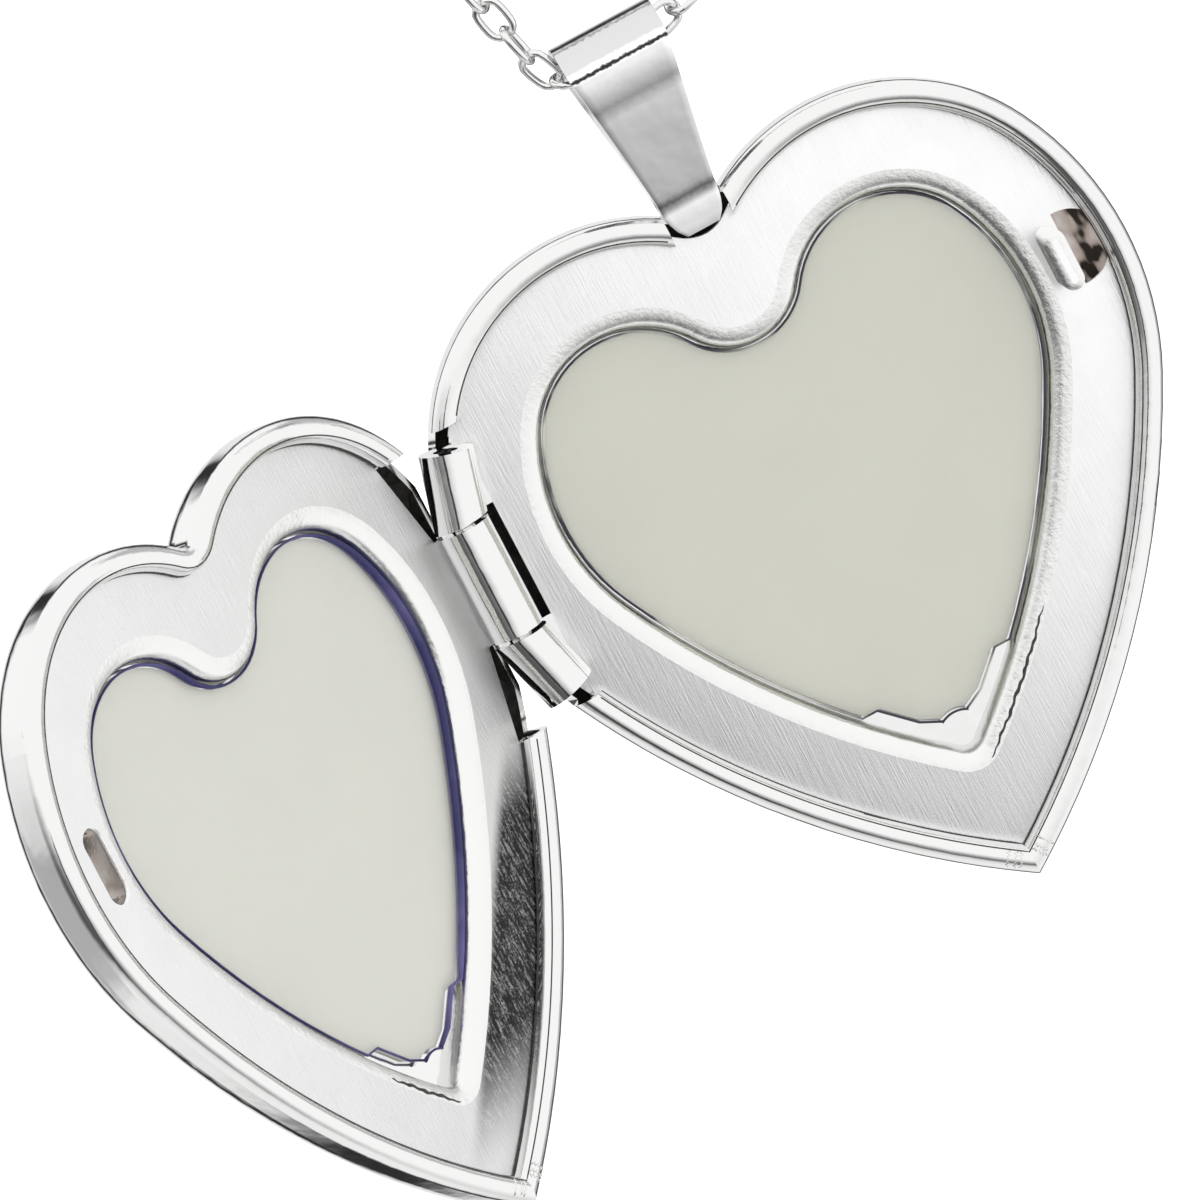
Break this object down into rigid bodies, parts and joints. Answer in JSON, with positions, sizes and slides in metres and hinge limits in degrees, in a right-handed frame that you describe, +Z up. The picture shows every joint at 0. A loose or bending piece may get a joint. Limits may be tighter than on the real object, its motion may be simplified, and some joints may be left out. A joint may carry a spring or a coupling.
{
  "type": "heart locket",
  "caption": "Heart-shaped picture locket with hinged cover, inner frames with lens and card, catch, folded bail and short cable chain with spring-ring clasp.",
  "frame": {"origin": "middle of the bail's eye, where the chain runs through", "axes": "+X along the bail's eye, away from the hinge; +Z up the heart's axis from tip to cleft; -Y out of the back half's open face"},
  "size_m": [0.0469, 0.0198, 0.0518],
  "materials": {
    "polished_silver": "polished",
    "satin_silver": "satin, brushed along the heart's axis",
    "card": "matt",
    "lens": "clear"
  },
  "bodies": {
    "back_half": {"back_shell": "polished_silver", "back_frame": "satin_silver", "back_card": "card", "back_lens": "lens", "hinge_pin": "polished_silver", "bail": "polished_silver", "chain": "polished_silver", "ring_left": "polished_silver", "ring_right": "polished_silver", "clasp_body": "polished_silver"},
    "cover": {"front_shell": "polished_silver", "front_frame": "satin_silver", "front_card": "card", "front_lens": "lens"},
    "trigger": {"clasp_trigger": "polished_silver"}
  },
  "joints": [
    {"name": "cover_hinge", "type": "hinge", "parent": "back_half", "child": "cover", "pos_m": [-0.0122, -0.00035, -0.01437], "axis": [0, 0, 1], "range_deg": [-22, 137.8]},
    {"name": "clasp_trigger", "type": "hinge", "parent": "back_half", "child": "trigger", "pos_m": [0.00848, 0, 0.01622], "axis": [0, -1, 0], "range_deg": [0, 45], "stiffness_Nm_per_rad": 0.0001, "springref_deg": -11.46}
  ]
}
